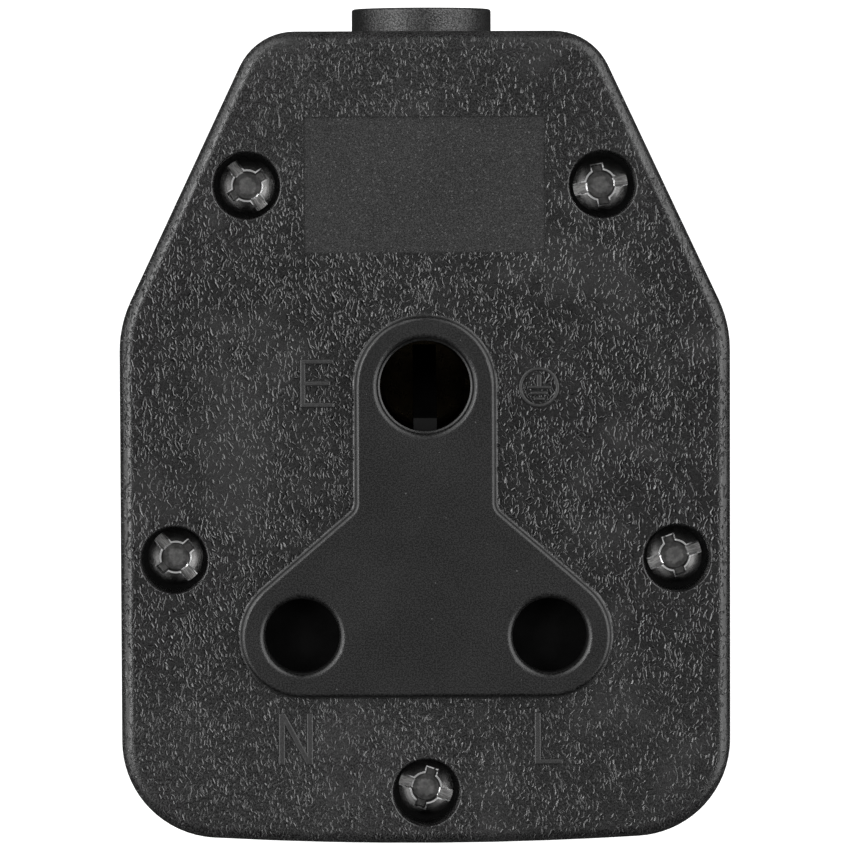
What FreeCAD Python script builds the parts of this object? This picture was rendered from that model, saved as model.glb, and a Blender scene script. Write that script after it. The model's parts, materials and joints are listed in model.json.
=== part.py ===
import FreeCAD, Part
import math
import os
import Sketcher

V3 = FreeCAD.Vector
doc = FreeCAD.newDocument("power_coupler")

# ---------------------------------------------------------------- sizes, in millimetres and degrees
# Each half is drawn in its own frame: z = 0 on the parting plane, +z out of its socket face,
# +y towards the cable entry, +x to the right when its face is looked at.
SIZES = [
    # overall
    ("half_depth", 30.0), ("face_level", 29.2), ("centre_shift", -1.15),
    # outline on the parting plane
    ("top_half", 17.49), ("top_level", 42.0), ("shoulder_half", 31.77), ("shoulder_level", 11.6),
    ("foot_half", 31.68), ("foot_drop", 40.95), ("bow_radius", 380.0), ("draft_angle", 0.88),
    ("top_corner_radius", 6.2), ("shoulder_radius", 12.0), ("foot_corner_radius", 10.0),
    ("face_edge_radius", 1.4), ("seam_chamfer", 0.3),
    # cavity
    ("cavity_top_half", 15.42), ("cavity_top_level", 38.7), ("cavity_half", 28.4),
    ("cavity_shoulder_level", 10.88), ("cavity_foot_drop", 37.63), ("cavity_bow_radius", 377.0),
    ("cavity_top_radius", 3.4), ("cavity_shoulder_radius", 9.2), ("cavity_foot_radius", 7.2),
    ("roof_level", 26.2), ("weld", 0.3),
    # socket pattern
    ("earth_y", 5.2), ("pole_x", 12.7), ("pole_drop", 20.42),
    ("earth_hole_radius", 4.67), ("pole_hole_radius", 3.85),
    ("earth_mouth_radius", 4.86), ("earth_mouth_depth", 0.9), ("earth_ledge", 0.17), ("earth_ledge_depth", 0.085),
    ("earth_rim_round", 0.6), ("pole_rim", 0.6),
    # raised platform
    ("platform_earth_radius", 7.165), ("platform_pole_radius", 6.25), ("platform_neck_drop", 7.43),
    ("platform_tangent_x", 16.7714), ("platform_tangent_drop", 15.6781), ("platform_neck_radius", 1.5),
    ("platform_edge_radius", 0.42), ("platform_foot_radius", 0.33), ("platform_root", 29.0),
    # cover screws
    ("upper_screw_x", 18.25), ("upper_screw_y", 25.8), ("side_screw_x", 25.8), ("side_screw_drop", 12.55),
    ("foot_screw_drop", 36.55), ("boss_radius", 4.6), ("counterbore_radius", 3.43),
    ("counterbore_depth", 8.4), ("counterbore_rim", 0.22), ("shank_hole_radius", 1.8),
    ("pilot_radius", 1.65), ("pilot_depth", 15.0),
    ("screw_head_radius", 2.825), ("screw_head_side", 1.7), ("screw_head_height", 2.4),
    ("screw_shank_radius", 1.6), ("screw_length", 34.6), ("screw_point", 1.2),
    ("slot_width", 0.92), ("slot_depth", 0.98), ("cross_span", 4.1), ("cross_width", 1.05), ("cross_depth", 0.85),
    ("cross_taper", 7.0), ("cross_core_radius", 1.5), ("cross_core_tip", 1.32), ("cross_core_depth", 1.1),
    # label recess and marks
    ("label_half", 12.4), ("label_low", 18.9), ("label_high", 32.8), ("label_depth", 0.2),
    ("mark_root", 29.1), ("mark_height", 0.32), ("mark_edge", 0.15),
    ("mark_e_left", 12.83), ("mark_e_right", 9.37), ("mark_e_low", 3.02), ("mark_e_high", 7.99),
    ("mark_e_stroke", 0.52), ("mark_e_stem", 0.58), ("mark_e_short", 0.32),
    ("mark_n_left", 15.15), ("mark_n_right", 11.62), ("mark_n_low", 33.68), ("mark_n_high", 28.33),
    ("mark_n_stem", 0.66), ("mark_n_slant", 0.72),
    ("mark_l_left", 11.1), ("mark_l_right", 14.0), ("mark_l_stem", 0.66), ("mark_l_foot", 0.55),
    ("sign_x", 11.67), ("sign_y", 5.04), ("sign_radius", 2.07), ("sign_stroke", 0.36), ("sign_bar", 0.37), ("sign_stem", 0.52),
    ("sign_stem_top", 1.36), ("sign_bar_one", 1.24), ("sign_bar_two", 0.9), ("sign_bar_three", 0.58),
    ("sign_step", 0.6),
    # cable entry
    ("bush_slot_radius", 6.36), ("bush_neck_radius", 6.3), ("bush_outer_radius", 7.4), ("bush_bore_radius", 5.0),
    ("bush_end", 44.57), ("bush_shoulder", 42.05), ("bush_neck_low", 38.64), ("bush_flange_radius", 8.6),
    ("bush_flange_low", 35.6), ("bush_edge", 0.3), ("bush_mouth", 0.6),
    # posts that clamp the contact block
    ("post_radius", 2.5), ("post_low", 4.0), ("upper_post_x", 10.5), ("upper_post_y", 12.6),
    ("lower_post_x", 20.7), ("lower_post_drop", 27.0),
    # shutter
    ("shutter_low", 22.9), ("shutter_high", 25.9), ("shutter_half", 17.4), ("shutter_cover", 4.35),
    ("shutter_stem_half", 3.2), ("shutter_stem_top", 1.0), ("shutter_notch_half", 6.2), ("shutter_notch_drop", 22.9),
    ("shutter_slot_half", 1.6), ("shutter_slot_low", 21.4), ("shutter_slot_high", 5.6),
    ("tongue_half", 1.2), ("tongue_high", 28.0), ("tongue_low", 19.7), ("tongue_land", 1.95), ("tongue_tip", 9.3),
    ("tongue_nose", 20.1), ("tongue_back", 1.0), ("tongue_round", 0.35), ("wing_round", 1.0),
    ("groove_half", 1.75), ("groove_drop", 10.2), ("groove_high", 28.4),
    # guide plate behind the shutter
    ("plate_low", 20.2), ("plate_high", 22.6), ("plate_top_half", 14.0), ("plate_top", 16.0),
    ("plate_waist_half", 20.0), ("plate_waist_drop", 3.0), ("plate_hip_drop", 19.5), ("plate_foot_half", 24.0),
    ("plate_foot_high", 23.0), ("plate_foot_low", 30.6), ("plate_earth_radius", 5.0), ("plate_pole_radius", 4.1),
    ("plate_post_radius", 2.75), ("plate_slot_half", 1.6), ("plate_slot_drop", 14.0),
    ("rail_inner", 3.5), ("rail_outer", 4.7), ("rail_low", 14.8), ("rail_high", 4.4), ("rail_top", 25.6),
    ("peg_half", 1.3), ("peg_low", 21.3), ("peg_high", 20.0), ("peg_top", 25.7),
    ("plate_screw_x", 10.0), ("plate_screw_drop", 8.0), ("plate_boss_radius", 2.6), ("plate_screw_hole", 1.25),
    ("plate_pilot_radius", 1.14), ("plate_pilot_top", 27.6),
    ("plate_screw_head_radius", 2.1), ("plate_screw_head", 1.5), ("plate_screw_radius", 1.1), ("plate_screw_length", 7.0),
    # shutter spring
    ("spring_radius", 1.12), ("spring_wire", 0.2), ("spring_pitch", 1.74), ("spring_length", 13.9), ("spring_level", 24.4),
    # contact block
    ("block_half_depth", 4.0), ("block_top_half", 14.0), ("block_top", 20.0), ("block_elbow", 6.5),
    ("block_waist_half", 19.8), ("block_waist_drop", 3.0), ("block_hip_drop", 19.5), ("block_foot_half", 24.0),
    ("block_foot_high", 23.0), ("block_foot_low", 30.6), ("block_earth_radius", 5.78), ("spigot_hole_radius", 3.05),
    ("spigot_hole_depth", 3.0), ("leg_slot_half", 0.65), ("leg_slot_gap", 0.15), ("terminal_well_radius", 2.0),
    ("terminal_well_depth", 4.5),
    # links
    ("link_thick", 1.0), ("link_pad_radius", 5.2), ("link_near", 0.8), ("link_far", 5.8), ("link_leg_half", 0.5),
    ("terminal_drop", 7.0), ("terminal_half", 3.0), ("terminal_end_drop", 3.5), ("terminal_hole_radius", 1.76),
    ("earth_link_inner", 5.76), ("earth_link_outer", 7.8), ("earth_arm_half", 3.2), ("earth_arm_end", 19.4),
    ("earth_terminal_y", 16.0),
    # pole contacts
    ("contact_spigot_radius", 3.0), ("contact_spigot_end", 1.3), ("contact_base", 5.0), ("contact_flange_radius", 5.2),
    ("contact_flange_top", 6.4), ("contact_radius", 4.7), ("contact_mouth", 19.8), ("contact_bore_radius", 3.58),
    ("contact_bore_end", 10.4), ("contact_lead", 0.5), ("contact_slit_half", 0.35), ("contact_slit_end", 12.4),
    ("ring_groove_radius", 4.2), ("ring_groove_low", 16.4), ("ring_groove_high", 17.4), ("contact_edge", 0.35),
    # earth contact
    ("earth_radius", 5.7), ("earth_mouth", 19.2), ("earth_bore_radius", 4.4), ("earth_web", 0.8), ("earth_lead", 0.55),
    ("earth_slit_half", 0.4), ("earth_slit_end", 9.0), ("earth_groove_radius", 5.15), ("earth_groove_low", 15.6),
    ("earth_groove_high", 16.6), ("earth_collar_radius", 6.8), ("earth_collar_top", 6.4), ("clip_groove_radius", 5.2),
    ("clip_groove_depth", 5.1), ("clip_outer_radius", 7.0), ("ring_gap_angle", 320.0), ("ring_play", 0.05),
    ("ring_outer_radius", 4.95), ("earth_ring_outer_radius", 5.95),
    # terminal screws and washers
    ("washer_half", 3.4), ("washer_thick", 1.0), ("washer_hole_radius", 1.85), ("washer_corner", 0.6),
    ("terminal_head_radius", 2.9), ("terminal_head", 2.1), ("terminal_screw_radius", 1.7), ("terminal_screw_length", 5.8),
    ("terminal_slot_half", 0.4), ("terminal_slot_depth", 1.1),
    # cord clamp
    ("clamp_screw_x", 8.2), ("clamp_y", 28.0), ("clamp_post_radius", 3.0), ("clamp_half", 11.8), ("clamp_width_half", 3.5),
    ("clamp_low", 0.4), ("clamp_saddle_radius", 6.0), ("clamp_saddle_level", 8.4), ("clamp_hole_radius", 1.45),
    ("clamp_corner", 1.5), ("clamp_pilot_radius", 1.34), ("clamp_pilot_depth", 10.0), ("clamp_head_radius", 2.5),
    ("clamp_head", 1.9), ("clamp_shank_radius", 1.3), ("clamp_shank_length", 12.0),
]

sheet = doc.addObject("Spreadsheet::Sheet", "Params")
for row, (word, number) in enumerate(SIZES, start=1):
    sheet.set("A%d" % row, word)
    sheet.set("B%d" % row, repr(float(number)))
    sheet.setAlias("B%d" % row, word)
doc.recompute()


class Size:
    """A number together with the sheet expression that gives it."""

    def __init__(self, value, text):
        self.value = float(value)
        self.text = text

    def __add__(self, other):
        other = size(other)
        return Size(self.value + other.value, "(%s + %s)" % (self.text, other.text))

    def __sub__(self, other):
        other = size(other)
        return Size(self.value - other.value, "(%s - %s)" % (self.text, other.text))

    def __mul__(self, other):
        other = size(other)
        return Size(self.value * other.value, "(%s * %s)" % (self.text, other.text))

    def __neg__(self):
        return Size(-self.value, "(0 - %s)" % self.text)

    __radd__ = __add__

    def __rsub__(self, other):
        return size(other) - self


def size(x):
    return x if isinstance(x, Size) else Size(x, repr(float(x)))


class Sheet:
    pass


P = Sheet()
for word, number in SIZES:
    setattr(P, word, Size(number, "Params." + word))

ZERO = size(0)

# ---------------------------------------------------------------- drawing helpers


def bind(obj, prop, s):
    s = size(s)
    obj.setExpression(prop, s.text)


def new_body(label):
    b = doc.addObject("PartDesign::Body", label)
    b.Label = label
    return b


def new_sketch(body, plane="XY", level=None):
    sk = body.newObject("Sketcher::SketchObject", body.Name + "_sketch")
    support = [f for f in body.Origin.OriginFeatures if getattr(f, "Role", "") == plane + "_Plane"][0]
    sk.AttachmentSupport = [(support, "")]
    sk.MapMode = "FlatFace"
    if level is not None:
        level = size(level)
        sk.AttachmentOffset = FreeCAD.Placement(V3(0, 0, level.value), FreeCAD.Rotation())
        bind(sk, "AttachmentOffset.Base.z", level)
    return sk


def datum(sk, constraint, s):
    i = sk.addConstraint(constraint)
    sk.setExpression("Constraints[%d]" % i, s.text)


def pin_point(sk, geo, pos, x, y):
    """Holds a point of the sketch at (x, y) measured from the sketch's origin."""
    for kind, s, axis in (("DistanceX", size(x), -2), ("DistanceY", size(y), -1)):
        if abs(s.value) < 1e-9:
            sk.addConstraint(Sketcher.Constraint("PointOnObject", geo, pos, axis))
        elif s.value > 0:
            datum(sk, Sketcher.Constraint(kind, -1, 1, geo, pos, s.value), s)
        else:
            datum(sk, Sketcher.Constraint(kind, geo, pos, -1, 1, -s.value), -s)


def draw_loop(sk, points, arcs=None):
    """A closed loop through the points; arcs maps a start index to (radius, counter-clockwise)."""
    arcs = arcs or {}
    n = len(points)
    pts = [V3(size(x).value, size(y).value, 0) for x, y in points]
    first = sk.GeometryCount
    ends = []
    for i in range(n):
        a, b = pts[i], pts[(i + 1) % n]
        if i in arcs:
            radius, ccw = arcs[i]
            r = size(radius).value
            half = (b - a).Length / 2
            normal = V3(-(b - a).y, (b - a).x, 0).normalize()
            if not ccw:
                normal = normal * -1
            centre = (a + b) * 0.5 + normal * math.sqrt(max(r * r - half * half, 0))
            lo, hi = (a, b) if ccw else (b, a)
            t0 = math.atan2(lo.y - centre.y, lo.x - centre.x)
            t1 = math.atan2(hi.y - centre.y, hi.x - centre.x)
            if t1 < t0:
                t1 += 2 * math.pi
            sk.addGeometry(Part.ArcOfCircle(Part.Circle(centre, V3(0, 0, 1), r), t0, t1), False)
            ends.append((1, 2) if ccw else (2, 1))
        else:
            sk.addGeometry(Part.LineSegment(a, b), False)
            ends.append((1, 2))
    for i in range(n):
        j = (i + 1) % n
        sk.addConstraint(Sketcher.Constraint("Coincident", first + i, ends[i][1], first + j, ends[j][0]))
    for i, (x, y) in enumerate(points):
        pin_point(sk, first + i, ends[i][0], x, y)
    for i, (radius, ccw) in arcs.items():
        radius = size(radius)
        datum(sk, Sketcher.Constraint("Radius", first + i, radius.value), radius)


def draw_box(sk, x0, x1, y0, y1):
    draw_loop(sk, [(x0, y0), (x1, y0), (x1, y1), (x0, y1)])


def draw_circle(sk, x, y, radius):
    x, y, radius = size(x), size(y), size(radius)
    g = sk.addGeometry(Part.Circle(V3(x.value, y.value, 0), V3(0, 0, 1), radius.value), False)
    pin_point(sk, g, 3, x, y)
    datum(sk, Sketcher.Constraint("Radius", g, radius.value), radius)


def feature(body, kind, sk, length=None, flip=False, taper=None):
    f = body.newObject("PartDesign::" + kind, body.Name + "_" + kind.lower())
    f.Profile = sk
    if length is not None:
        length = size(length)
        f.Length = length.value
        bind(f, "Length", length)
    if taper is not None:
        taper = size(taper)
        f.TaperAngle = taper.value
        bind(f, "TaperAngle", taper)
    if flip:
        f.Reversed = True
    doc.recompute()
    return f


def pad(body, sk, length, flip=False, taper=None):
    before = body.Shape.Volume if body.Tip and body.Tip != sk and body.Shape.Solids else 0.0
    f = feature(body, "Pad", sk, length, flip, taper)
    if not f.Shape.Volume > before + 1e-6:
        raise RuntimeError("%s added nothing" % f.Name)
    return f


def pocket(body, sk, length, flip=False, taper=None):
    before = body.Shape.Volume
    f = feature(body, "Pocket", sk, length, flip, taper)
    if not f.Shape.Volume < before - 1e-6:
        raise RuntimeError("%s removed nothing" % f.Name)
    return f


def turn(body, sk, angle=None):
    f = body.newObject("PartDesign::Revolution", body.Name + "_turn")
    f.Profile = sk
    f.ReferenceAxis = (sk, ["V_Axis"])
    f.Angle = 360.0
    if angle is not None:
        bind(f, "Angle", angle)
    doc.recompute()
    return f


def edge_names(shape, test):
    return ["Edge%d" % (i + 1) for i, e in enumerate(shape.Edges) if test(e)]


def dress(body, kind, prop, value, test):
    base = body.Tip
    names = edge_names(base.Shape, test)
    if not names:
        raise RuntimeError("no edge for %s on %s" % (kind, body.Name))
    f = body.newObject("PartDesign::" + kind, body.Name + "_" + kind.lower())
    f.Base = (base, names)
    value = size(value)
    setattr(f, prop, value.value)
    bind(f, prop, value)
    doc.recompute()
    if not f.Shape.isValid() or "Invalid" in f.State:
        raise RuntimeError("%s failed on %s" % (kind, body.Name))
    return f


def fillet(body, value, test):
    return dress(body, "Fillet", "Radius", value, test)


def chamfer(body, value, test):
    return dress(body, "Chamfer", "Size", value, test)


def cone_rim(body, width, depth, radius, level):
    """A steep conical mouth on the round edge of a hole."""
    f = chamfer(body, width, round_edge(level, radius))
    f.ChamferType = "Two distances"
    f.Size2 = depth.value
    bind(f, "Size2", depth)
    doc.recompute()
    wide = round_edge(level, radius + width.value)
    if not edge_names(f.Shape, wide):
        f.FlipDirection = True
        doc.recompute()
    if not f.Shape.isValid() or not edge_names(f.Shape, wide):
        raise RuntimeError("conical mouth failed on %s" % body.Name)
    return f


def upright(x, y, tol=1.0, tall=0.5):
    """Edges that stand near the given (x, y)."""

    def test(e):
        b = e.BoundBox
        return b.ZLength > tall and abs(b.Center.x - x) < tol and abs(b.Center.y - y) < tol and max(b.XLength, b.YLength) < 1.5

    return test


def at_level(z, tol=1e-3):
    return lambda e: abs(e.BoundBox.ZMin - z) < tol and abs(e.BoundBox.ZMax - z) < tol


def round_edge(z, r, tol=1e-3):
    def test(e):
        c = e.Curve
        return at_level(z)(e) and isinstance(c, Part.Circle) and abs(c.Radius - r) < tol

    return test


# ---------------------------------------------------------------- where the pieces sit
SHIFT = P.centre_shift.value
FRONT = FreeCAD.Placement(V3(0, SHIFT, P.half_depth.value), FreeCAD.Rotation())
REAR = FreeCAD.Placement(V3(0, SHIFT, P.half_depth.value), FreeCAD.Rotation(V3(0, 1, 0), 180))

pieces = []


def place(obj, label, frame, x=0.0, y=0.0, z=0.0, rotation=None):
    """Names a finished piece and stands it in the shared frame."""
    obj.Label = label
    obj.Placement = frame.multiply(FreeCAD.Placement(V3(x, y, z), rotation or FreeCAD.Rotation()))
    pieces.append(obj)


# ---------------------------------------------------------------- shells
SCREWS = [
    (-P.upper_screw_x, P.upper_screw_y), (P.upper_screw_x, P.upper_screw_y),
    (-P.side_screw_x, -P.side_screw_drop), (P.side_screw_x, -P.side_screw_drop),
    (ZERO, -P.foot_screw_drop),
]
POSTS = [
    (-P.upper_post_x, P.upper_post_y), (P.upper_post_x, P.upper_post_y),
    (-P.lower_post_x, -P.lower_post_drop), (P.lower_post_x, -P.lower_post_drop),
]
PLATE_SCREWS = [(-P.plate_screw_x, -P.plate_screw_drop), (P.plate_screw_x, -P.plate_screw_drop)]
POLES = [(-P.pole_x, -P.pole_drop), (P.pole_x, -P.pole_drop)]


def outline(sk, top_half, top_level, side_half, shoulder, foot_half, foot_drop, bow):
    draw_loop(
        sk,
        [(top_half, top_level), (-top_half, top_level), (-side_half, shoulder), (-foot_half, -foot_drop),
         (foot_half, -foot_drop), (side_half, shoulder)],
        {3: (bow, True)},
    )


def circles(body, places, radius, level):
    sk = new_sketch(body, "XY", level)
    for x, y in places:
        draw_circle(sk, x, y, radius)
    return sk


def draw_marks(body):
    sk = new_sketch(body, "XY", P.mark_root)
    # E
    l, r, lo, hi = -P.mark_e_left, -P.mark_e_right, P.mark_e_low, P.mark_e_high
    s, w = P.mark_e_stroke, P.mark_e_stem
    mid = (lo + hi) * 0.5
    inner = l + w
    draw_loop(sk, [
        (l, lo), (r, lo), (r, lo + s), (inner, lo + s), (inner, mid - s * 0.5), (r - P.mark_e_short, mid - s * 0.5),
        (r - P.mark_e_short, mid + s * 0.5), (inner, mid + s * 0.5), (inner, hi - s), (r, hi - s), (r, hi), (l, hi),
    ])
    # N
    l, r, lo, hi = -P.mark_n_left, -P.mark_n_right, -P.mark_n_low, -P.mark_n_high
    w, d = P.mark_n_stem, P.mark_n_slant
    draw_loop(sk, [
        (l, lo), (l + w, lo), (l + w, hi - d * 1.75), (r - w, lo), (r, lo), (r, hi), (r - w, hi), (r - w, lo + d * 1.75),
        (l + w, hi), (l, hi),
    ])
    # L
    l, r = P.mark_l_left, P.mark_l_right
    draw_loop(sk, [
        (l, lo), (r, lo), (r, lo + P.mark_l_foot), (l + P.mark_l_stem, lo + P.mark_l_foot), (l + P.mark_l_stem, hi), (l, hi),
    ])
    # earth sign: ring, stem with its long bar, two shorter bars
    x, y, h, w = P.sign_x, P.sign_y, P.sign_bar * 0.5, P.sign_stem * 0.5
    draw_circle(sk, x, y, P.sign_radius)
    draw_circle(sk, x, y, P.sign_radius - P.sign_stroke)
    draw_loop(sk, [
        (x - P.sign_bar_one, y - h), (x + P.sign_bar_one, y - h), (x + P.sign_bar_one, y + h), (x + w, y + h),
        (x + w, y + P.sign_stem_top), (x - w, y + P.sign_stem_top), (x - w, y + h), (x - P.sign_bar_one, y + h),
    ])
    for n, half in ((1.0, P.sign_bar_two), (2.0, P.sign_bar_three)):
        c = y - P.sign_step * n
        draw_box(sk, x - half, x + half, c - h, c + h)
    pad(body, sk, P.mark_height)


def make_shell(label, frame, front):
    b = new_body(label)
    sk = new_sketch(b)
    outline(sk, P.top_half, P.top_level, P.shoulder_half, P.shoulder_level, P.foot_half, P.foot_drop, P.bow_radius)
    pad(b, sk, P.face_level, taper=-P.draft_angle)
    for x, y, r in ((P.top_half, P.top_level, P.top_corner_radius), (P.shoulder_half, P.shoulder_level, P.shoulder_radius),
                    (P.foot_half, -P.foot_drop, P.foot_corner_radius)):
        left, right = upright(-x.value, y.value, 1.5, 20), upright(x.value, y.value, 1.5, 20)
        fillet(b, r, lambda e: left(e) or right(e))
    fillet(b, P.face_edge_radius, at_level(P.face_level.value))
    chamfer(b, P.seam_chamfer, at_level(0.0))

    # raised socket platform
    sk = new_sketch(b, "XY", P.platform_root)
    e, p = P.platform_earth_radius, P.platform_pole_radius
    low = -P.pole_drop - p
    draw_loop(
        sk,
        [(e, P.earth_y), (ZERO, P.earth_y + e), (-e, P.earth_y), (-e, -P.platform_neck_drop),
         (-P.platform_tangent_x, -P.platform_tangent_drop), (-P.pole_x, low), (P.pole_x, low),
         (P.platform_tangent_x, -P.platform_tangent_drop), (e, -P.platform_neck_drop)],
        {0: (e, True), 1: (e, True), 4: (p, True), 6: (p, True)},
    )
    pad(b, sk, P.half_depth - P.platform_root)
    n0 = upright(-e.value, -P.platform_neck_drop.value, 0.2, 0.3)
    n1 = upright(e.value, -P.platform_neck_drop.value, 0.2, 0.3)
    fillet(b, P.platform_neck_radius, lambda ed: n0(ed) or n1(ed))
    fillet(b, P.platform_edge_radius, at_level(P.half_depth.value))
    foot = at_level(P.face_level.value)
    reach = P.pole_x.value + p.value + 0.5
    fillet(b, P.platform_foot_radius, lambda ed: foot(ed) and -reach < ed.BoundBox.XMin and ed.BoundBox.XMax < reach
           and low.value - 0.5 < ed.BoundBox.YMin and ed.BoundBox.YMax < P.earth_y.value + e.value + 0.5)

    # label recess
    sk = new_sketch(b, "XY", P.face_level)
    draw_box(sk, -P.label_half, P.label_half, P.label_low, P.label_high)
    pocket(b, sk, P.label_depth)

    # hollow inside
    sk = new_sketch(b)
    outline(sk, P.cavity_top_half, P.cavity_top_level, P.cavity_half, P.cavity_shoulder_level, P.cavity_half,
            P.cavity_foot_drop, P.cavity_bow_radius)
    pocket(b, sk, P.roof_level, flip=True)
    for x, y, r in ((P.cavity_top_half, P.cavity_top_level, P.cavity_top_radius),
                    (P.cavity_half, P.cavity_shoulder_level, P.cavity_shoulder_radius),
                    (P.cavity_half, -P.cavity_foot_drop, P.cavity_foot_radius)):
        c0, c1 = upright(-x.value, y.value, 0.2, 20), upright(x.value, y.value, 0.2, 20)
        fillet(b, r, lambda ed: c0(ed) or c1(ed))

    # bosses and posts
    pad(b, circles(b, SCREWS, P.boss_radius, ZERO), P.roof_level + P.weld)
    pad(b, circles(b, POSTS, P.post_radius, P.post_low), P.roof_level + P.weld - P.post_low)
    pad(b, circles(b, PLATE_SCREWS, P.plate_boss_radius, P.plate_high), P.roof_level + P.weld - P.plate_high)
    if not front:
        spots = [(-P.clamp_screw_x, P.clamp_y), (P.clamp_screw_x, P.clamp_y)]
        pad(b, circles(b, spots, P.clamp_post_radius, P.post_low), P.roof_level + P.weld - P.post_low)
        pocket(b, circles(b, spots, P.clamp_pilot_radius, P.post_low), P.clamp_pilot_depth, flip=True)

    # cable entry
    sk = new_sketch(b, "XZ", -P.bush_flange_low)
    draw_circle(sk, ZERO, ZERO, P.bush_slot_radius)
    pocket(b, sk, P.top_level - P.bush_flange_low + 1.0)

    # groove for the shutter's tongue, then the pin holes
    sk = new_sketch(b, "XY", P.roof_level)
    draw_box(sk, -P.groove_half, P.groove_half, -P.groove_drop, P.earth_y)
    pocket(b, sk, P.groove_high - P.roof_level, flip=True)
    pocket(b, circles(b, [(ZERO, P.earth_y)], P.earth_hole_radius, P.half_depth), P.half_depth - P.roof_level + 1.0)
    pocket(b, circles(b, POLES, P.pole_hole_radius, P.half_depth), P.half_depth - P.roof_level + 1.0)
    # the earth hole has a slightly wider mouth that ends on a sloping ledge
    top = P.half_depth.value
    pocket(b, circles(b, [(ZERO, P.earth_y)], P.earth_mouth_radius, P.half_depth), P.earth_mouth_depth)
    cone_rim(b, P.earth_ledge, P.earth_ledge_depth, P.earth_hole_radius.value, top - P.earth_mouth_depth.value)
    fillet(b, P.earth_rim_round, round_edge(top, P.earth_mouth_radius.value))
    fillet(b, P.pole_rim, round_edge(top, P.pole_hole_radius.value))

    # screw holes
    if front:
        pocket(b, circles(b, SCREWS, P.counterbore_radius, P.face_level), P.counterbore_depth)
        pocket(b, circles(b, SCREWS, P.shank_hole_radius, ZERO), P.face_level - P.counterbore_depth + 1.0, flip=True)
        fillet(b, P.counterbore_rim, round_edge(P.face_level.value, P.counterbore_radius.value))
    else:
        pocket(b, circles(b, SCREWS, P.pilot_radius, ZERO), P.pilot_depth, flip=True)
    pocket(b, circles(b, PLATE_SCREWS, P.plate_pilot_radius, P.plate_high), P.plate_pilot_top - P.plate_high, flip=True)

    draw_marks(b)
    top = P.mark_root.value + P.mark_height.value
    fillet(b, P.mark_edge, at_level(top))
    place(b, label, frame)
    return b


make_shell("front_shell", FRONT, True)
make_shell("rear_shell", REAR, False)

# ---------------------------------------------------------------- screws


def screw_body(label, head_radius, head_height, head_side, shank_radius, length, point, dome=True):
    """A screw that points down, with the underside of its head at z = 0."""
    b = new_body(label)
    sk = new_sketch(b, "XZ")
    hr, hh, hs = size(head_radius), size(head_height), size(head_side)
    sr, ln, pt = size(shank_radius), size(length), size(point)
    points = [(ZERO, -ln), (sr * 0.45, -ln), (sr, pt - ln), (sr, ZERO), (hr, ZERO), (hr, hs)]
    arcs = {}
    if dome:
        rise = hh.value - hs.value
        flat = hr.value * 0.2
        span = hr.value - flat
        # a dome that meets the flat crown level
        dome_radius = (span * span + rise * rise) / (2 * rise)
        points += [(hr * 0.2, hh), (ZERO, hh)]
        arcs[5] = (size(dome_radius), True)
    else:
        points += [(hr * 0.86, hh), (ZERO, hh)]
    draw_loop(sk, points, arcs)
    turn(b, sk)
    return b


def slot(body, half, depth, level, reach):
    sk = new_sketch(body, "XY", level)
    draw_box(sk, -size(reach), size(reach), -size(half), size(half))
    pocket(body, sk, depth)


cover = screw_body("cover_screw_pattern", P.screw_head_radius, P.screw_head_height, P.screw_head_side,
                   P.screw_shank_radius, P.screw_length, P.screw_point)
slot(cover, P.slot_width * 0.5, P.slot_depth, P.screw_head_height, P.screw_head_radius + 0.5)
sk = new_sketch(cover, "XY", P.screw_head_height)
a, c = P.cross_span * 0.5, P.cross_width * 0.5
draw_loop(sk, [(a, -c), (a, c), (c, c), (c, a), (-c, a), (-c, c), (-a, c), (-a, -c), (-c, -c), (-c, -a), (c, -a), (c, -c)])
pocket(cover, sk, P.cross_depth, taper=-P.cross_taper)
core = cover.newObject("PartDesign::SubtractiveCone", "cover_core")
core.AttachmentSupport = [([f for f in cover.Origin.OriginFeatures if getattr(f, "Role", "") == "XY_Plane"][0], "")]
core.MapMode = "FlatFace"
for prop, s in (("Radius1", P.cross_core_tip), ("Radius2", P.cross_core_radius), ("Height", P.cross_core_depth)):
    setattr(core, prop, s.value)
    bind(core, prop, s)
bind(core, "AttachmentOffset.Base.z", P.screw_head_height - P.cross_core_depth)
doc.recompute()


def group(label, pattern, frame, spots):
    """Copies of one finished fastener as separate solids of a single piece: (x, y, z, turn in degrees)."""
    shapes = []
    for x, y, z, angle in spots:
        s = pattern.Shape.copy()
        s.Placement = FreeCAD.Placement(V3(x, y, z), FreeCAD.Rotation(V3(0, 0, 1), angle))
        shapes.append(s)
    g = doc.addObject("Part::Feature", label)
    g.Shape = Part.makeCompound(shapes)
    place(g, label, frame)
    return g


SEAT = P.face_level.value - P.counterbore_depth.value
TURNS = [-55.0, 11.4, -50.4, 19.0, -18.6]
group("cover_screws", cover, FRONT, [(x.value, y.value, SEAT, t) for (x, y), t in zip(SCREWS, TURNS)])

small = screw_body("plate_screw_pattern", P.plate_screw_head_radius, P.plate_screw_head, P.plate_screw_head * 0.45,
                   P.plate_screw_radius, P.plate_screw_length, 0.8)
slot(small, 0.3, 0.7, P.plate_screw_head, P.plate_screw_head_radius + 0.5)


def plate_screws(label, frame):
    shapes = []
    for x, y in PLATE_SCREWS:
        s = small.Shape.copy()
        s.Placement = FreeCAD.Placement(V3(x.value, y.value, P.plate_low.value), FreeCAD.Rotation(V3(1, 0, 0), 180))
        shapes.append(s)
    g = doc.addObject("Part::Feature", label)
    g.Shape = Part.makeCompound(shapes)
    place(g, label, frame)


plate_screws("front_plate_screws", FRONT)
plate_screws("rear_plate_screws", REAR)

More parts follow.
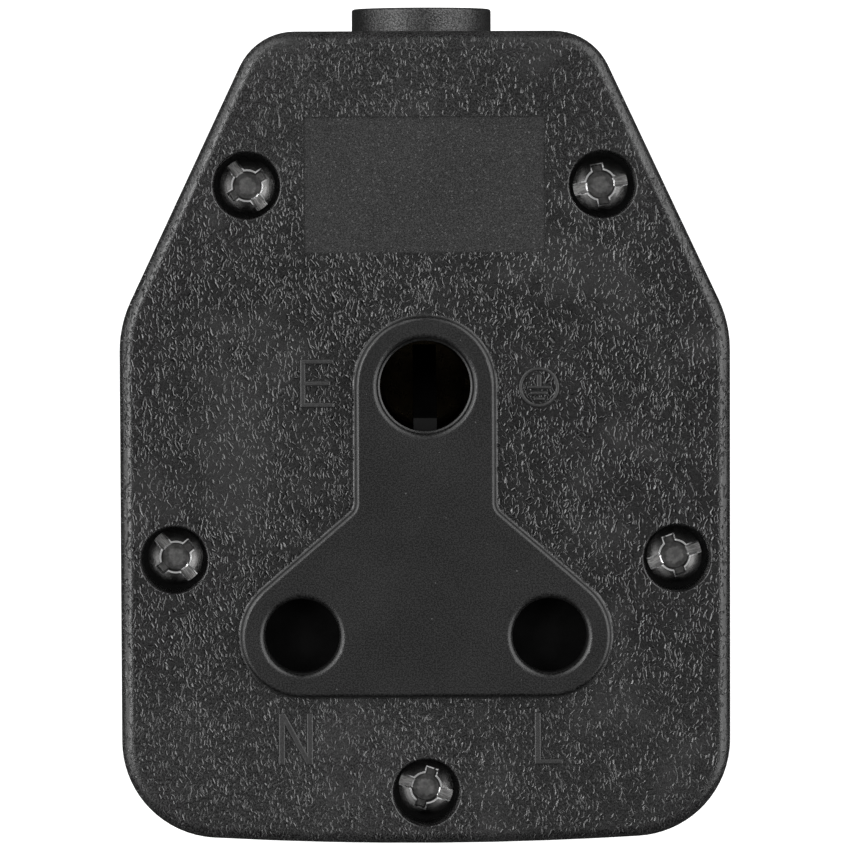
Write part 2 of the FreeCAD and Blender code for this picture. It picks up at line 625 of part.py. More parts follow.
# ---------------------------------------------------------------- cable bush
bush = new_body("cable_bush")
sk = new_sketch(bush, "XZ")
bo, be = P.bush_outer_radius, P.bush_edge
draw_loop(sk, [
    (P.bush_bore_radius + P.bush_mouth, P.bush_flange_low), (P.bush_flange_radius, P.bush_flange_low),
    (P.bush_flange_radius, P.bush_neck_low), (P.bush_neck_radius, P.bush_neck_low), (P.bush_neck_radius, P.bush_shoulder),
    (bo, P.bush_shoulder), (bo, P.bush_end - be), (bo - be, P.bush_end), (P.bush_bore_radius + P.bush_mouth, P.bush_end),
    (P.bush_bore_radius, P.bush_end - P.bush_mouth), (P.bush_bore_radius, P.bush_flange_low + P.bush_mouth),
], {6: (be, True), 8: (P.bush_mouth, True)})
turn(bush, sk)
ALONG_Y = FreeCAD.Rotation(V3(1, 0, 0), -90)
place(bush, "cable_bush", FRONT, rotation=ALONG_Y)

# ---------------------------------------------------------------- shutters, their plates and springs


def make_shutter(label, frame):
    b = new_body(label)
    sk = new_sketch(b, "XY", P.shutter_low)
    top, low = P.shutter_cover - P.pole_drop, -P.pole_drop - P.shutter_cover
    w, n, s = P.shutter_half, P.shutter_notch_half, P.shutter_stem_half
    draw_loop(sk, [
        (-w, low), (-n, low), (-n, -P.shutter_notch_drop), (n, -P.shutter_notch_drop), (n, low), (w, low), (w, top),
        (s, top), (s, -P.shutter_stem_top), (-s, -P.shutter_stem_top), (-s, top), (-w, top),
    ])
    pad(b, sk, P.shutter_high - P.shutter_low)
    corners = [upright(x * w.value, y, 0.1, 1.0) for x in (-1, 1) for y in (low.value, top.value)]
    fillet(b, P.wing_round, lambda e: any(t(e) for t in corners))
    # tongue with the ramp that the earth pin pushes
    sk = new_sketch(b, "YZ", -P.tongue_half)
    draw_loop(sk, [
        (-P.shutter_slot_high + 0.6, P.shutter_low), (-P.tongue_back, P.tongue_low), (P.tongue_tip, P.tongue_low),
        (P.tongue_tip, P.tongue_nose), (P.tongue_land, P.tongue_high), (-P.tongue_back, P.tongue_high),
        (-P.tongue_back, P.shutter_high), (-P.shutter_slot_high + 0.6, P.shutter_high),
    ])
    pad(b, sk, P.tongue_half * 2)
    edge = lambda e: (abs(e.BoundBox.Center.y - P.tongue_land.value) < 0.01
                      and abs(e.BoundBox.Center.z - P.tongue_high.value) < 0.01 and e.BoundBox.XLength > 2)
    fillet(b, P.tongue_round, edge)
    sk = new_sketch(b, "XY", P.shutter_high)
    draw_box(sk, -P.shutter_slot_half, P.shutter_slot_half, -P.shutter_slot_low, -P.shutter_slot_high)
    pocket(b, sk, P.shutter_high - P.shutter_low)
    place(b, label, frame)


def make_plate(label, frame):
    b = new_body(label)
    sk = new_sketch(b, "XY", P.plate_low)
    right = [(P.plate_foot_half, -P.plate_foot_low), (P.plate_foot_half, -P.plate_foot_high),
             (P.plate_waist_half, -P.plate_hip_drop), (P.plate_waist_half, -P.plate_waist_drop),
             (P.plate_top_half, P.earth_y), (P.plate_top_half, P.plate_top)]
    left = [(-x, y) for x, y in reversed(right)]
    draw_loop(sk, right + left)
    pad(b, sk, P.plate_high - P.plate_low)
    sk = new_sketch(b, "XY", P.plate_high)
    r0, r1 = P.rail_inner, P.rail_outer
    draw_box(sk, r0, r1, -P.rail_low, -P.rail_high)
    draw_box(sk, -r1, -r0, -P.rail_low, -P.rail_high)
    pad(b, sk, P.rail_top - P.plate_high)
    sk = new_sketch(b, "XY", P.plate_high)
    draw_box(sk, -P.peg_half, P.peg_half, -P.peg_low, -P.peg_high)
    pad(b, sk, P.peg_top - P.plate_high)
    depth = P.plate_high - P.plate_low
    pocket(b, circles(b, [(ZERO, P.earth_y)], P.plate_earth_radius, P.plate_high), depth)
    pocket(b, circles(b, POLES, P.plate_pole_radius, P.plate_high), depth)
    pocket(b, circles(b, POSTS, P.plate_post_radius, P.plate_high), depth)
    pocket(b, circles(b, PLATE_SCREWS, P.plate_screw_hole, P.plate_high), depth)
    sk = new_sketch(b, "XY", P.plate_high)
    draw_box(sk, -P.plate_slot_half, P.plate_slot_half, -P.plate_slot_drop, P.earth_y)
    pocket(b, sk, depth)
    place(b, label, frame)


def make_spring(label, frame):
    b = new_body(label)
    sk = new_sketch(b, "XZ")
    draw_circle(sk, P.spring_radius, P.spring_wire, P.spring_wire)
    h = b.newObject("PartDesign::AdditiveHelix", b.Name + "_coil")
    h.Profile = sk
    h.ReferenceAxis = (sk, ["V_Axis"])
    h.Mode = 0
    h.Pitch = P.spring_pitch.value
    h.Height = P.spring_length.value
    bind(h, "Pitch", P.spring_pitch)
    bind(h, "Height", P.spring_length)
    doc.recompute()
    y = -P.peg_high.value + 0.05
    place(b, label, frame, 0, y, P.spring_level.value, ALONG_Y)


for side, frame in (("front", FRONT), ("rear", REAR)):
    make_shutter(side + "_shutter", frame)
    make_plate(side + "_guide_plate", frame)
    make_spring(side + "_shutter_spring", frame)

# ---------------------------------------------------------------- contact block
block = new_body("contact_block")
sk = new_sketch(block, "XY", -P.block_half_depth)
right = [(P.block_foot_half, -P.block_foot_low), (P.block_foot_half, -P.block_foot_high),
         (P.block_waist_half, -P.block_hip_drop), (P.block_waist_half, -P.block_waist_drop),
         (P.block_top_half, P.block_elbow), (P.block_top_half, P.block_top)]
draw_loop(sk, right + [(-x, y) for x, y in reversed(right)])
thick = P.block_half_depth * 2
pad(block, sk, thick)
pocket(block, circles(block, [(ZERO, P.earth_y)], P.block_earth_radius, P.block_half_depth), thick)
pocket(block, circles(block, POLES, P.spigot_hole_radius, P.block_half_depth), P.spigot_hole_depth)
pocket(block, circles(block, POLES, P.spigot_hole_radius, -P.block_half_depth), P.spigot_hole_depth, flip=True)
TERMINALS = [(-P.pole_x, -P.terminal_drop), (P.pole_x, -P.terminal_drop), (ZERO, P.earth_terminal_y)]
pocket(block, circles(block, TERMINALS, P.terminal_well_radius, P.block_half_depth), P.terminal_well_depth)
sk = new_sketch(block, "XY", P.block_half_depth)
g = P.leg_slot_gap
draw_box(sk, -P.leg_slot_half, P.leg_slot_half, P.link_near - P.pole_drop - g, P.link_far - P.pole_drop + g)
draw_box(sk, -P.leg_slot_half, P.leg_slot_half, -P.pole_drop - P.link_far - g, -P.pole_drop - P.link_near + g)
pocket(block, sk, thick)
place(block, "contact_block", FRONT)

# ---------------------------------------------------------------- links


def box(name, x0, x1, y0, y1, z0, z1):
    o = doc.addObject("Part::Box", name)
    for prop, lo, hi in (("Length", x0, x1), ("Width", y0, y1), ("Height", z0, z1)):
        s = size(hi) - size(lo)
        setattr(o, prop, s.value)
        bind(o, prop, s)
    for axis, lo in (("x", x0), ("y", y0), ("z", z0)):
        bind(o, "Placement.Base." + axis, lo)
    return o


def rod(name, x, y, z0, z1, radius):
    o = doc.addObject("Part::Cylinder", name)
    radius, tall = size(radius), size(z1) - size(z0)
    o.Radius, o.Height = radius.value, tall.value
    bind(o, "Radius", radius)
    bind(o, "Height", tall)
    for axis, s in (("x", x), ("y", y), ("z", z0)):
        bind(o, "Placement.Base." + axis, s)
    return o


def fuse_and_cut(label, solids, holes):
    u = doc.addObject("Part::MultiFuse", label + "_union")
    u.Shapes = solids
    u.Refine = True
    h = doc.addObject("Part::MultiFuse", label + "_holes")
    h.Shapes = holes
    c = doc.addObject("Part::Cut", label)
    c.Base, c.Tool = u, h
    c.Refine = True
    doc.recompute()
    return c


def make_link(label, s):
    """s is +1 for the live side and -1 for the neutral side of the front face."""
    t, d = P.block_half_depth, P.link_thick
    hi0, hi1, lo0, lo1 = t, t + d, -t - d, -t
    y0, y1 = (P.link_near - P.pole_drop, P.link_far - P.pole_drop) if s > 0 else (
        -P.pole_drop - P.link_far, -P.pole_drop - P.link_near)
    px, leg = P.pole_x, P.link_leg_half
    near, far = (px, -px) if s > 0 else (-px, px)
    upper = (-leg, px) if s > 0 else (-px, leg)
    lower = (-px, leg) if s > 0 else (-leg, px)
    tx = near
    solids = [
        rod(label + "_a", near, -P.pole_drop, hi0, hi1, P.link_pad_radius),
        box(label + "_b", upper[0], upper[1], y0, y1, hi0, hi1),
        box(label + "_c", tx - P.terminal_half, tx + P.terminal_half, -P.pole_drop, -P.terminal_end_drop, hi0, hi1),
        box(label + "_d", -leg, leg, y0, y1, lo0, hi1),
        box(label + "_e", lower[0], lower[1], y0, y1, lo0, lo1),
        rod(label + "_f", far, -P.pole_drop, lo0, lo1, P.link_pad_radius),
    ]
    holes = [
        rod(label + "_g", near, -P.pole_drop, hi0 - 0.5, hi1 + 0.5, P.spigot_hole_radius),
        rod(label + "_h", far, -P.pole_drop, lo0 - 0.5, lo1 + 0.5, P.spigot_hole_radius),
        rod(label + "_i", tx, -P.terminal_drop, hi0 - 0.5, hi1 + 0.5, P.terminal_hole_radius),
    ]
    place(fuse_and_cut(label, solids, holes), label, FRONT)


make_link("live_link", 1)
make_link("neutral_link", -1)
t, d = P.block_half_depth, P.link_thick
earth_link = fuse_and_cut(
    "earth_link",
    [rod("earth_link_a", ZERO, P.earth_y, t, t + d, P.earth_link_outer),
     box("earth_link_b", -P.earth_arm_half, P.earth_arm_half, P.earth_y, P.earth_arm_end, t, t + d)],
    [rod("earth_link_c", ZERO, P.earth_y, t - 0.5, t + d + 0.5, P.earth_link_inner),
     rod("earth_link_d", ZERO, P.earth_terminal_y, t - 0.5, t + d + 0.5, P.terminal_hole_radius)],
)
place(earth_link, "earth_link", FRONT)

# ---------------------------------------------------------------- contacts


def slits(body, half, reach, level, depth, flip=False):
    for swap in (False, True):
        sk = new_sketch(body, "XY", level)
        a, c = size(half), size(reach)
        if swap:
            draw_box(sk, -c, c, -a, a)
        else:
            draw_box(sk, -a, a, -c, c)
        pocket(body, sk, depth, flip=flip)


def make_contact(label, frame, x):
    b = new_body(label)
    sk = new_sketch(b, "XZ")
    r, m, e, lead = P.contact_radius, P.contact_mouth, P.contact_edge, P.contact_lead
    draw_loop(sk, [
        (ZERO, P.contact_spigot_end), (P.contact_spigot_radius, P.contact_spigot_end), (P.contact_spigot_radius, P.contact_base),
        (P.contact_flange_radius, P.contact_base), (P.contact_flange_radius, P.contact_flange_top), (r, P.contact_flange_top),
        (r, P.ring_groove_low), (P.ring_groove_radius, P.ring_groove_low), (P.ring_groove_radius, P.ring_groove_high),
        (r, P.ring_groove_high), (r, m - e), (r - e, m), (P.contact_bore_radius + lead, m), (P.contact_bore_radius, m - lead),
        (P.contact_bore_radius, P.contact_bore_end), (ZERO, P.contact_bore_end),
    ])
    turn(b, sk)
    slits(b, P.contact_slit_half, P.contact_flange_radius + 1.0, P.contact_mouth, P.contact_mouth - P.contact_slit_end)
    place(b, label, frame, x, -P.pole_drop.value, 0)


X = P.pole_x.value
for side, frame in (("front", FRONT), ("rear", REAR)):
    make_contact(side + "_live_contact", frame, X)
    make_contact(side + "_neutral_contact", frame, -X)

earth = new_body("earth_contact")
sk = new_sketch(earth, "XZ")
r, m, w, lead, bore = P.earth_radius, P.earth_mouth, P.earth_web, P.earth_lead, P.earth_bore_radius
gr, g0, g1 = P.earth_groove_radius, P.earth_groove_low, P.earth_groove_high
draw_loop(sk, [
    (ZERO, w), (bore, w), (bore, m - lead), (bore + lead, m), (r - 0.3, m), (r, m - 0.3), (r, g1), (gr, g1), (gr, g0), (r, g0),
    (r, P.earth_collar_top), (P.earth_collar_radius, P.earth_collar_top), (P.earth_collar_radius, P.contact_base),
    (r, P.contact_base), (r, -P.block_half_depth), (P.clip_groove_radius, -P.block_half_depth),
    (P.clip_groove_radius, -P.clip_groove_depth), (r, -P.clip_groove_depth), (r, -g0), (gr, -g0), (gr, -g1), (r, -g1),
    (r, 0.3 - m), (r - 0.3, -m), (bore + lead, -m), (bore, lead - m), (bore, -w), (ZERO, -w),
])
turn(earth, sk)
reach = P.earth_radius + 1.0
slits(earth, P.earth_slit_half, reach, m, m - P.earth_slit_end)
slits(earth, P.earth_slit_half, reach, -m, m - P.earth_slit_end, flip=True)
place(earth, "earth_contact", FRONT, 0, P.earth_y.value, 0)


def ring_body(label, inner, outer, low, high):
    b = new_body(label)
    sk = new_sketch(b, "XZ")
    draw_box(sk, inner, outer, low, high)
    turn(b, sk, P.ring_gap_angle)
    return b


pole_ring = ring_body("pole_ring_pattern", P.ring_groove_radius + P.ring_play, P.ring_outer_radius,
                      P.ring_groove_low + P.ring_play, P.ring_groove_high - P.ring_play)
earth_ring = ring_body("earth_ring_pattern", P.earth_groove_radius + P.ring_play, P.earth_ring_outer_radius,
                       P.earth_groove_low + P.ring_play, P.earth_groove_high - P.ring_play)
clip = ring_body("earth_clip", P.clip_groove_radius + P.ring_play, P.clip_outer_radius,
                 -P.clip_groove_depth + P.ring_play, -P.block_half_depth - P.ring_play)
place(clip, "earth_clip", FRONT, 0, P.earth_y.value, 0)
Y = -P.pole_drop.value
for side, frame in (("front", FRONT), ("rear", REAR)):
    group(side + "_pole_rings", pole_ring, frame, [(-X, Y, 0, 20), (X, Y, 0, -160)])
rings = []
for angle in (0, 180):
    s = earth_ring.Shape.copy()
    s.Placement = FreeCAD.Placement(V3(0, P.earth_y.value, 0), FreeCAD.Rotation(V3(0, 1, 0), angle))
    rings.append(s)
earth_rings = doc.addObject("Part::Feature", "earth_rings")
earth_rings.Shape = Part.makeCompound(rings)
place(earth_rings, "earth_rings", FRONT)

# ---------------------------------------------------------------- terminals
washer = new_body("clamp_washer_pattern")
sk = new_sketch(washer)
h = P.washer_half
draw_box(sk, -h, h, -h, h)
pad(washer, sk, P.washer_thick)
spots = [upright(x * h.value, y * h.value, 0.1, 0.5) for x in (-1, 1) for y in (-1, 1)]
fillet(washer, P.washer_corner, lambda e: any(t(e) for t in spots))
pocket(washer, circles(washer, [(ZERO, ZERO)], P.washer_hole_radius, P.washer_thick), P.washer_thick)

pin = screw_body("terminal_screw_pattern", P.terminal_head_radius, P.terminal_head, P.terminal_head * 0.5,
                 P.terminal_screw_radius, P.terminal_screw_length, 0.7)
slot(pin, P.terminal_slot_half, P.terminal_slot_depth, P.terminal_head, P.terminal_head_radius + 0.5)
on_link = P.block_half_depth.value + P.link_thick.value
on_washer = on_link + P.washer_thick.value
group("clamp_washers", washer, FRONT, [(x.value, y.value, on_link, 0) for x, y in TERMINALS])
group("terminal_screws", pin, FRONT, [(x.value, y.value, on_washer, a) for (x, y), a in zip(TERMINALS, (25, -40, 70))])

# ---------------------------------------------------------------- cord clamp, drawn in the rear half's frame
bar = new_body("cord_clamp_bar")
sk = new_sketch(bar, "XY", P.clamp_low)
c, w = P.clamp_half, P.clamp_width_half
draw_box(sk, -c, c, P.clamp_y - w, P.clamp_y + w)
pad(bar, sk, P.post_low - P.clamp_low)
spots = [upright(x * c.value, P.clamp_y.value + y * w.value, 0.1, 0.5) for x in (-1, 1) for y in (-1, 1)]
fillet(bar, P.clamp_corner, lambda e: any(t(e) for t in spots))
CLAMPS = [(-P.clamp_screw_x, P.clamp_y), (P.clamp_screw_x, P.clamp_y)]
pocket(bar, circles(bar, CLAMPS, P.clamp_hole_radius, P.post_low), P.post_low - P.clamp_low)
sk = new_sketch(bar, "XZ", -P.clamp_y - w - 1.0)
draw_circle(sk, ZERO, P.clamp_saddle_level, P.clamp_saddle_radius)
pocket(bar, sk, w * 2 + 2.0, flip=True)
place(bar, "cord_clamp_bar", REAR)

hold = screw_body("clamp_screw_pattern", P.clamp_head_radius, P.clamp_head, P.clamp_head * 0.45,
                  P.clamp_shank_radius, P.clamp_shank_length, 0.9)
slot(hold, 0.35, 0.9, P.clamp_head, P.clamp_head_radius + 0.5)
shapes = []
for x, y in CLAMPS:
    s = hold.Shape.copy()
    s.Placement = FreeCAD.Placement(V3(x.value, y.value, P.clamp_low.value), FreeCAD.Rotation(V3(1, 0, 0), 180))
    shapes.append(s)
clamp_screws = doc.addObject("Part::Feature", "cord_clamp_screws")
clamp_screws.Shape = Part.makeCompound(shapes)
place(clamp_screws, "cord_clamp_screws", REAR)

# ---------------------------------------------------------------- check and write
doc.recompute()
for o in doc.Objects:
    if "Invalid" in o.State or "Error" in o.State:
        raise RuntimeError("%s is %s" % (o.Label, o.State))
    s = getattr(o, "Shape", None)
    if s is not None and s.Solids and not s.isValid():
        raise RuntimeError("%s has a bad shape" % o.Label)

os.makedirs("parts", exist_ok=True)
for o in pieces:
    if not o.Shape.Solids:
        raise RuntimeError("%s has no solid" % o.Label)
    o.Shape.exportStep("parts/%s.step" % o.Label)
    b = o.Shape.BoundBox
    print("%-22s %2d solid(s) %9.2f mm3  x %.2f..%.2f  y %.2f..%.2f  z %.2f..%.2f" % (
        o.Label, len(o.Shape.Solids), o.Shape.Volume, b.XMin, b.XMax, b.YMin, b.YMax, b.ZMin, b.ZMax))
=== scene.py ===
"""A double power coupler lying on its back: finishes, springs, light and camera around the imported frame."""

import json
import math

import bmesh
import bpy
from mathutils import Matrix, Vector


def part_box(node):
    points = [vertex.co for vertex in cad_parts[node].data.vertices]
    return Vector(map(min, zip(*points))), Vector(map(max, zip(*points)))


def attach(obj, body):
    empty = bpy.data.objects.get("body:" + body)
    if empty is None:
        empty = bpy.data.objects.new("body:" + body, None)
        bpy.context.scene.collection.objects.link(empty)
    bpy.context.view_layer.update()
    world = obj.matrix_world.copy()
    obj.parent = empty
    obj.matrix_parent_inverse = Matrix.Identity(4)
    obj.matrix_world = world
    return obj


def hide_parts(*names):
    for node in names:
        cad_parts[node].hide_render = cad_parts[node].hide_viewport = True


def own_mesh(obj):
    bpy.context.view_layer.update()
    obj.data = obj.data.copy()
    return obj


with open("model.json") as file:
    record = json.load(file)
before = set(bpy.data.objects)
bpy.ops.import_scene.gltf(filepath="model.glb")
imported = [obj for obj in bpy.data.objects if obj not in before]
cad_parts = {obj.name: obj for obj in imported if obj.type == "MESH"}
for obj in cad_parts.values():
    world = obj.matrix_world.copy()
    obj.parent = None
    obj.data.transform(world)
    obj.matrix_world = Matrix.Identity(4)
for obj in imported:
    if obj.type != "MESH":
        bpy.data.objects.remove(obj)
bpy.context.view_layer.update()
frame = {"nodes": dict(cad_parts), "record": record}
nodes = frame["nodes"]
scene = bpy.context.scene
MM = 0.001


# ---------------------------------------------------------------- material building blocks
class Finish:
    """A node material with one Principled shader. Lengths are in millimetres of the row frame."""

    def __init__(self, name):
        self.material = bpy.data.materials.new(name)
        self.material.use_nodes = True
        self.tree = self.material.node_tree
        self.tree.nodes.clear()
        out = self.new("ShaderNodeOutputMaterial")
        self.shader = self.new("ShaderNodeBsdfPrincipled")
        self.tree.links.new(self.shader.outputs[0], out.inputs["Surface"])
        place = self.new("ShaderNodeTexCoord").outputs["Object"]
        self.mm = self.vector("SCALE", place, scale=1000.0)
        parts = self.new("ShaderNodeSeparateXYZ")
        self.put(parts.inputs[0], self.mm)
        self.x, self.y, self.z = parts.outputs

    def new(self, kind, **options):
        n = self.tree.nodes.new(kind)
        for key, value in options.items():
            setattr(n, key, value)
        return n

    def put(self, socket, value):
        if isinstance(value, bpy.types.NodeSocket):
            self.tree.links.new(value, socket)
        else:
            socket.default_value = value

    def set(self, **values):
        for key, value in values.items():
            self.put(self.shader.inputs[key.replace("_", " ")], value)
        return self

    def math(self, what, *values, clamp=False):
        n = self.new("ShaderNodeMath", operation=what, use_clamp=clamp)
        for socket, value in zip(n.inputs, values):
            self.put(socket, value)
        return n.outputs[0]

    def vector(self, what, *values, scale=None):
        n = self.new("ShaderNodeVectorMath", operation=what)
        for socket, value in zip(n.inputs, values):
            self.put(socket, value)
        if scale is not None:
            self.put(n.inputs["Scale"], scale)
        return n.outputs["Value"] if what in ("DISTANCE", "LENGTH", "DOT_PRODUCT") else n.outputs["Vector"]

    def add(self, a, b):
        return self.math("ADD", a, b)

    def times(self, a, b):
        return self.math("MULTIPLY", a, b)

    def less(self, a, b):
        return self.math("SUBTRACT", a, b)

    def step(self, value, low, high, out_low=0.0, out_high=1.0):
        """Runs smoothly from out_low to out_high while value goes from low to high."""
        n = self.new("ShaderNodeMapRange", interpolation_type="SMOOTHSTEP", clamp=True)
        for key, v in (("Value", value), ("From Min", low), ("From Max", high), ("To Min", out_low), ("To Max", out_high)):
            self.put(n.inputs[key], v)
        return n.outputs["Result"]

    def noise(self, scale, detail=2.0, rough=0.5, where=None, warp=0.0, output=0):
        n = self.new("ShaderNodeTexNoise", noise_dimensions="3D")
        self.put(n.inputs["Vector"], where if where is not None else self.mm)
        for key, v in (("Scale", scale), ("Detail", detail), ("Roughness", rough), ("Distortion", warp)):
            self.put(n.inputs[key], v)
        return n.outputs[output]

    def cells(self, scale, where=None, feature="DISTANCE_TO_EDGE", random=1.0, output="Distance"):
        n = self.new("ShaderNodeTexVoronoi", voronoi_dimensions="3D", feature=feature)
        self.put(n.inputs["Vector"], where if where is not None else self.mm)
        self.put(n.inputs["Scale"], scale)
        self.put(n.inputs["Randomness"], random)
        return n.outputs[output]

    def stretched(self, sx, sy, sz, where=None):
        return self.vector("MULTIPLY", where if where is not None else self.mm, (sx, sy, sz))

    def warped(self, scale, amount, detail=1.0):
        n = self.new("ShaderNodeTexNoise", noise_dimensions="3D")
        self.put(n.inputs["Vector"], self.mm)
        self.put(n.inputs["Scale"], scale)
        self.put(n.inputs["Detail"], detail)
        shift = self.vector("SUBTRACT", n.outputs["Color"], (0.5, 0.5, 0.5))
        return self.vector("ADD", self.mm, self.vector("SCALE", shift, scale=amount))

    def blend(self, factor, a, b):
        n = self.new("ShaderNodeMix", data_type="RGBA")
        self.put(n.inputs[0], factor)
        self.put(n.inputs[6], a)
        self.put(n.inputs[7], b)
        return n.outputs[2]

    def height(self, millimetres):
        """Relief of the surface, as a height in millimetres."""
        n = self.new("ShaderNodeBump")
        n.inputs["Strength"].default_value = 1.0
        n.inputs["Distance"].default_value = MM
        self.put(n.inputs["Height"], millimetres)
        self.put(self.shader.inputs["Normal"], n.outputs["Normal"])
        return self


def grey(v, warm=0.0):
    return (v * (1 + warm), v, v * (1 - warm), 1.0)


def distance_from(f, x, y):
    flat = f.new("ShaderNodeCombineXYZ")
    f.put(flat.inputs[0], f.x)
    f.put(flat.inputs[1], f.y)
    return f.vector("DISTANCE", flat.outputs[0], (x, y, 0.0))


# ---------------------------------------------------------------- moulded shell
SHIFT = -1.15
SCREWS = [(-18.25, 25.8 + SHIFT), (18.25, 25.8 + SHIFT), (-25.8, SHIFT - 12.55), (25.8, SHIFT - 12.55), (0.0, SHIFT - 36.55)]
TURNS = [-55.0, 11.4, -50.4, 19.0, -18.6]
LABEL_Y = 25.85 + SHIFT
GRAIN, TOOTH = 0.070, 0.014
EARTH_Y, POLE_X, POLE_Y = 5.2 + SHIFT, 12.7, SHIFT - 20.42


def unrolled(f, place):
    """The surface laid flat: x and y on the two faces, and the way round against the depth on the walls."""
    def parts(v):
        n = f.new("ShaderNodeSeparateXYZ")
        f.put(n.inputs[0], v)
        return n.outputs

    nx, ny, nz = [f.math("ABSOLUTE", c) for c in parts(f.new("ShaderNodeNewGeometry").outputs["Normal"])]
    x, y, z = parts(place)
    face = f.step(nz, 0.62, 0.70)
    side = f.step(f.less(nx, ny), -0.05, 0.05)
    around = f.add(x, f.times(f.less(y, x), side))
    flat = f.new("ShaderNodeCombineXYZ")
    f.put(flat.inputs[0], f.add(around, f.times(f.less(x, around), face)))
    f.put(flat.inputs[1], f.add(z, f.times(f.less(y, z), face)))
    return flat.outputs[0]


def strokes(f, sx, sy, place, shift, hand, half, steep, gentle, tilt, share):
    """Short worms, one to a cell: a steep flank, a gentle flank and a height of their own. Lengths are in millimetres.

    Returns the relief, a painted-highlight mask on the gentle flank and a painted-shade mask at the foot of the steep
    flank, each from 0 to 1."""
    n = f.new("ShaderNodeTexVoronoi", voronoi_dimensions="2D", feature="F1")
    where = f.stretched(sx, sy, 1.0, f.vector("ADD", place, shift))
    f.put(n.inputs["Vector"], where)
    f.put(n.inputs["Scale"], 1.0)
    f.put(n.inputs["Randomness"], 0.85)
    pick = f.new("ShaderNodeSeparateColor")
    f.put(pick.inputs[0], n.outputs["Color"])
    own, turn, size = pick.outputs
    local = f.new("ShaderNodeSeparateXYZ")
    f.put(local.inputs[0], f.stretched(1.0 / sx, 1.0 / sy, 0.0, f.vector("SUBTRACT", where, n.outputs["Position"])))
    x, y = local.outputs[0], local.outputs[1]
    angle = f.times(f.less(turn, 0.5), tilt)
    c, d = f.math("COSINE", angle), f.math("SINE", angle)
    across = f.times(f.add(f.times(x, c), f.times(y, d)), hand)
    along = f.less(f.times(y, c), f.times(x, d))
    big = f.step(size, 0.0, 1.0, 0.6, 1.15)
    across = f.math("DIVIDE", across, big)
    end = f.math("DIVIDE", along, f.step(own, 0.4, 1.0, half * 0.4, half))
    end = f.less(1.0, f.times(end, end))
    rise = f.add(f.math("DIVIDE", across, steep), 1.0)
    fall = f.less(1.0, f.math("DIVIDE", across, gentle))
    kept = f.step(f.add(own, share), 0.99, 1.01)
    vigour = f.step(f.math("FRACT", f.times(own, 23.7)), 0.0, 1.0)
    tall = f.times(f.add(f.times(vigour, 0.60), 0.50), f.times(big, kept))
    body = f.times(f.math("MINIMUM", f.math("MINIMUM", rise, fall), f.times(end, 2.2), clamp=True), tall)
    tip = f.times(f.step(end, 0.0, 0.4), kept)
    # painted highlight: the gentle flank of the worm is marked to be coloured lighter
    painted_glint = f.times(f.step(across, -0.015, 0.015), f.times(f.step(fall, 0.0, 0.35), f.add(f.times(vigour, 0.8), 0.2)))
    # painted shade: a band at the foot of the steep flank is marked to be coloured dark
    painted_shade = f.times(f.step(across, 0.0, -0.025), f.times(f.step(across, -0.17, -0.10), f.add(f.times(vigour, 0.5), 0.5)))
    return body, f.times(painted_glint, tip), f.times(painted_shade, tip)


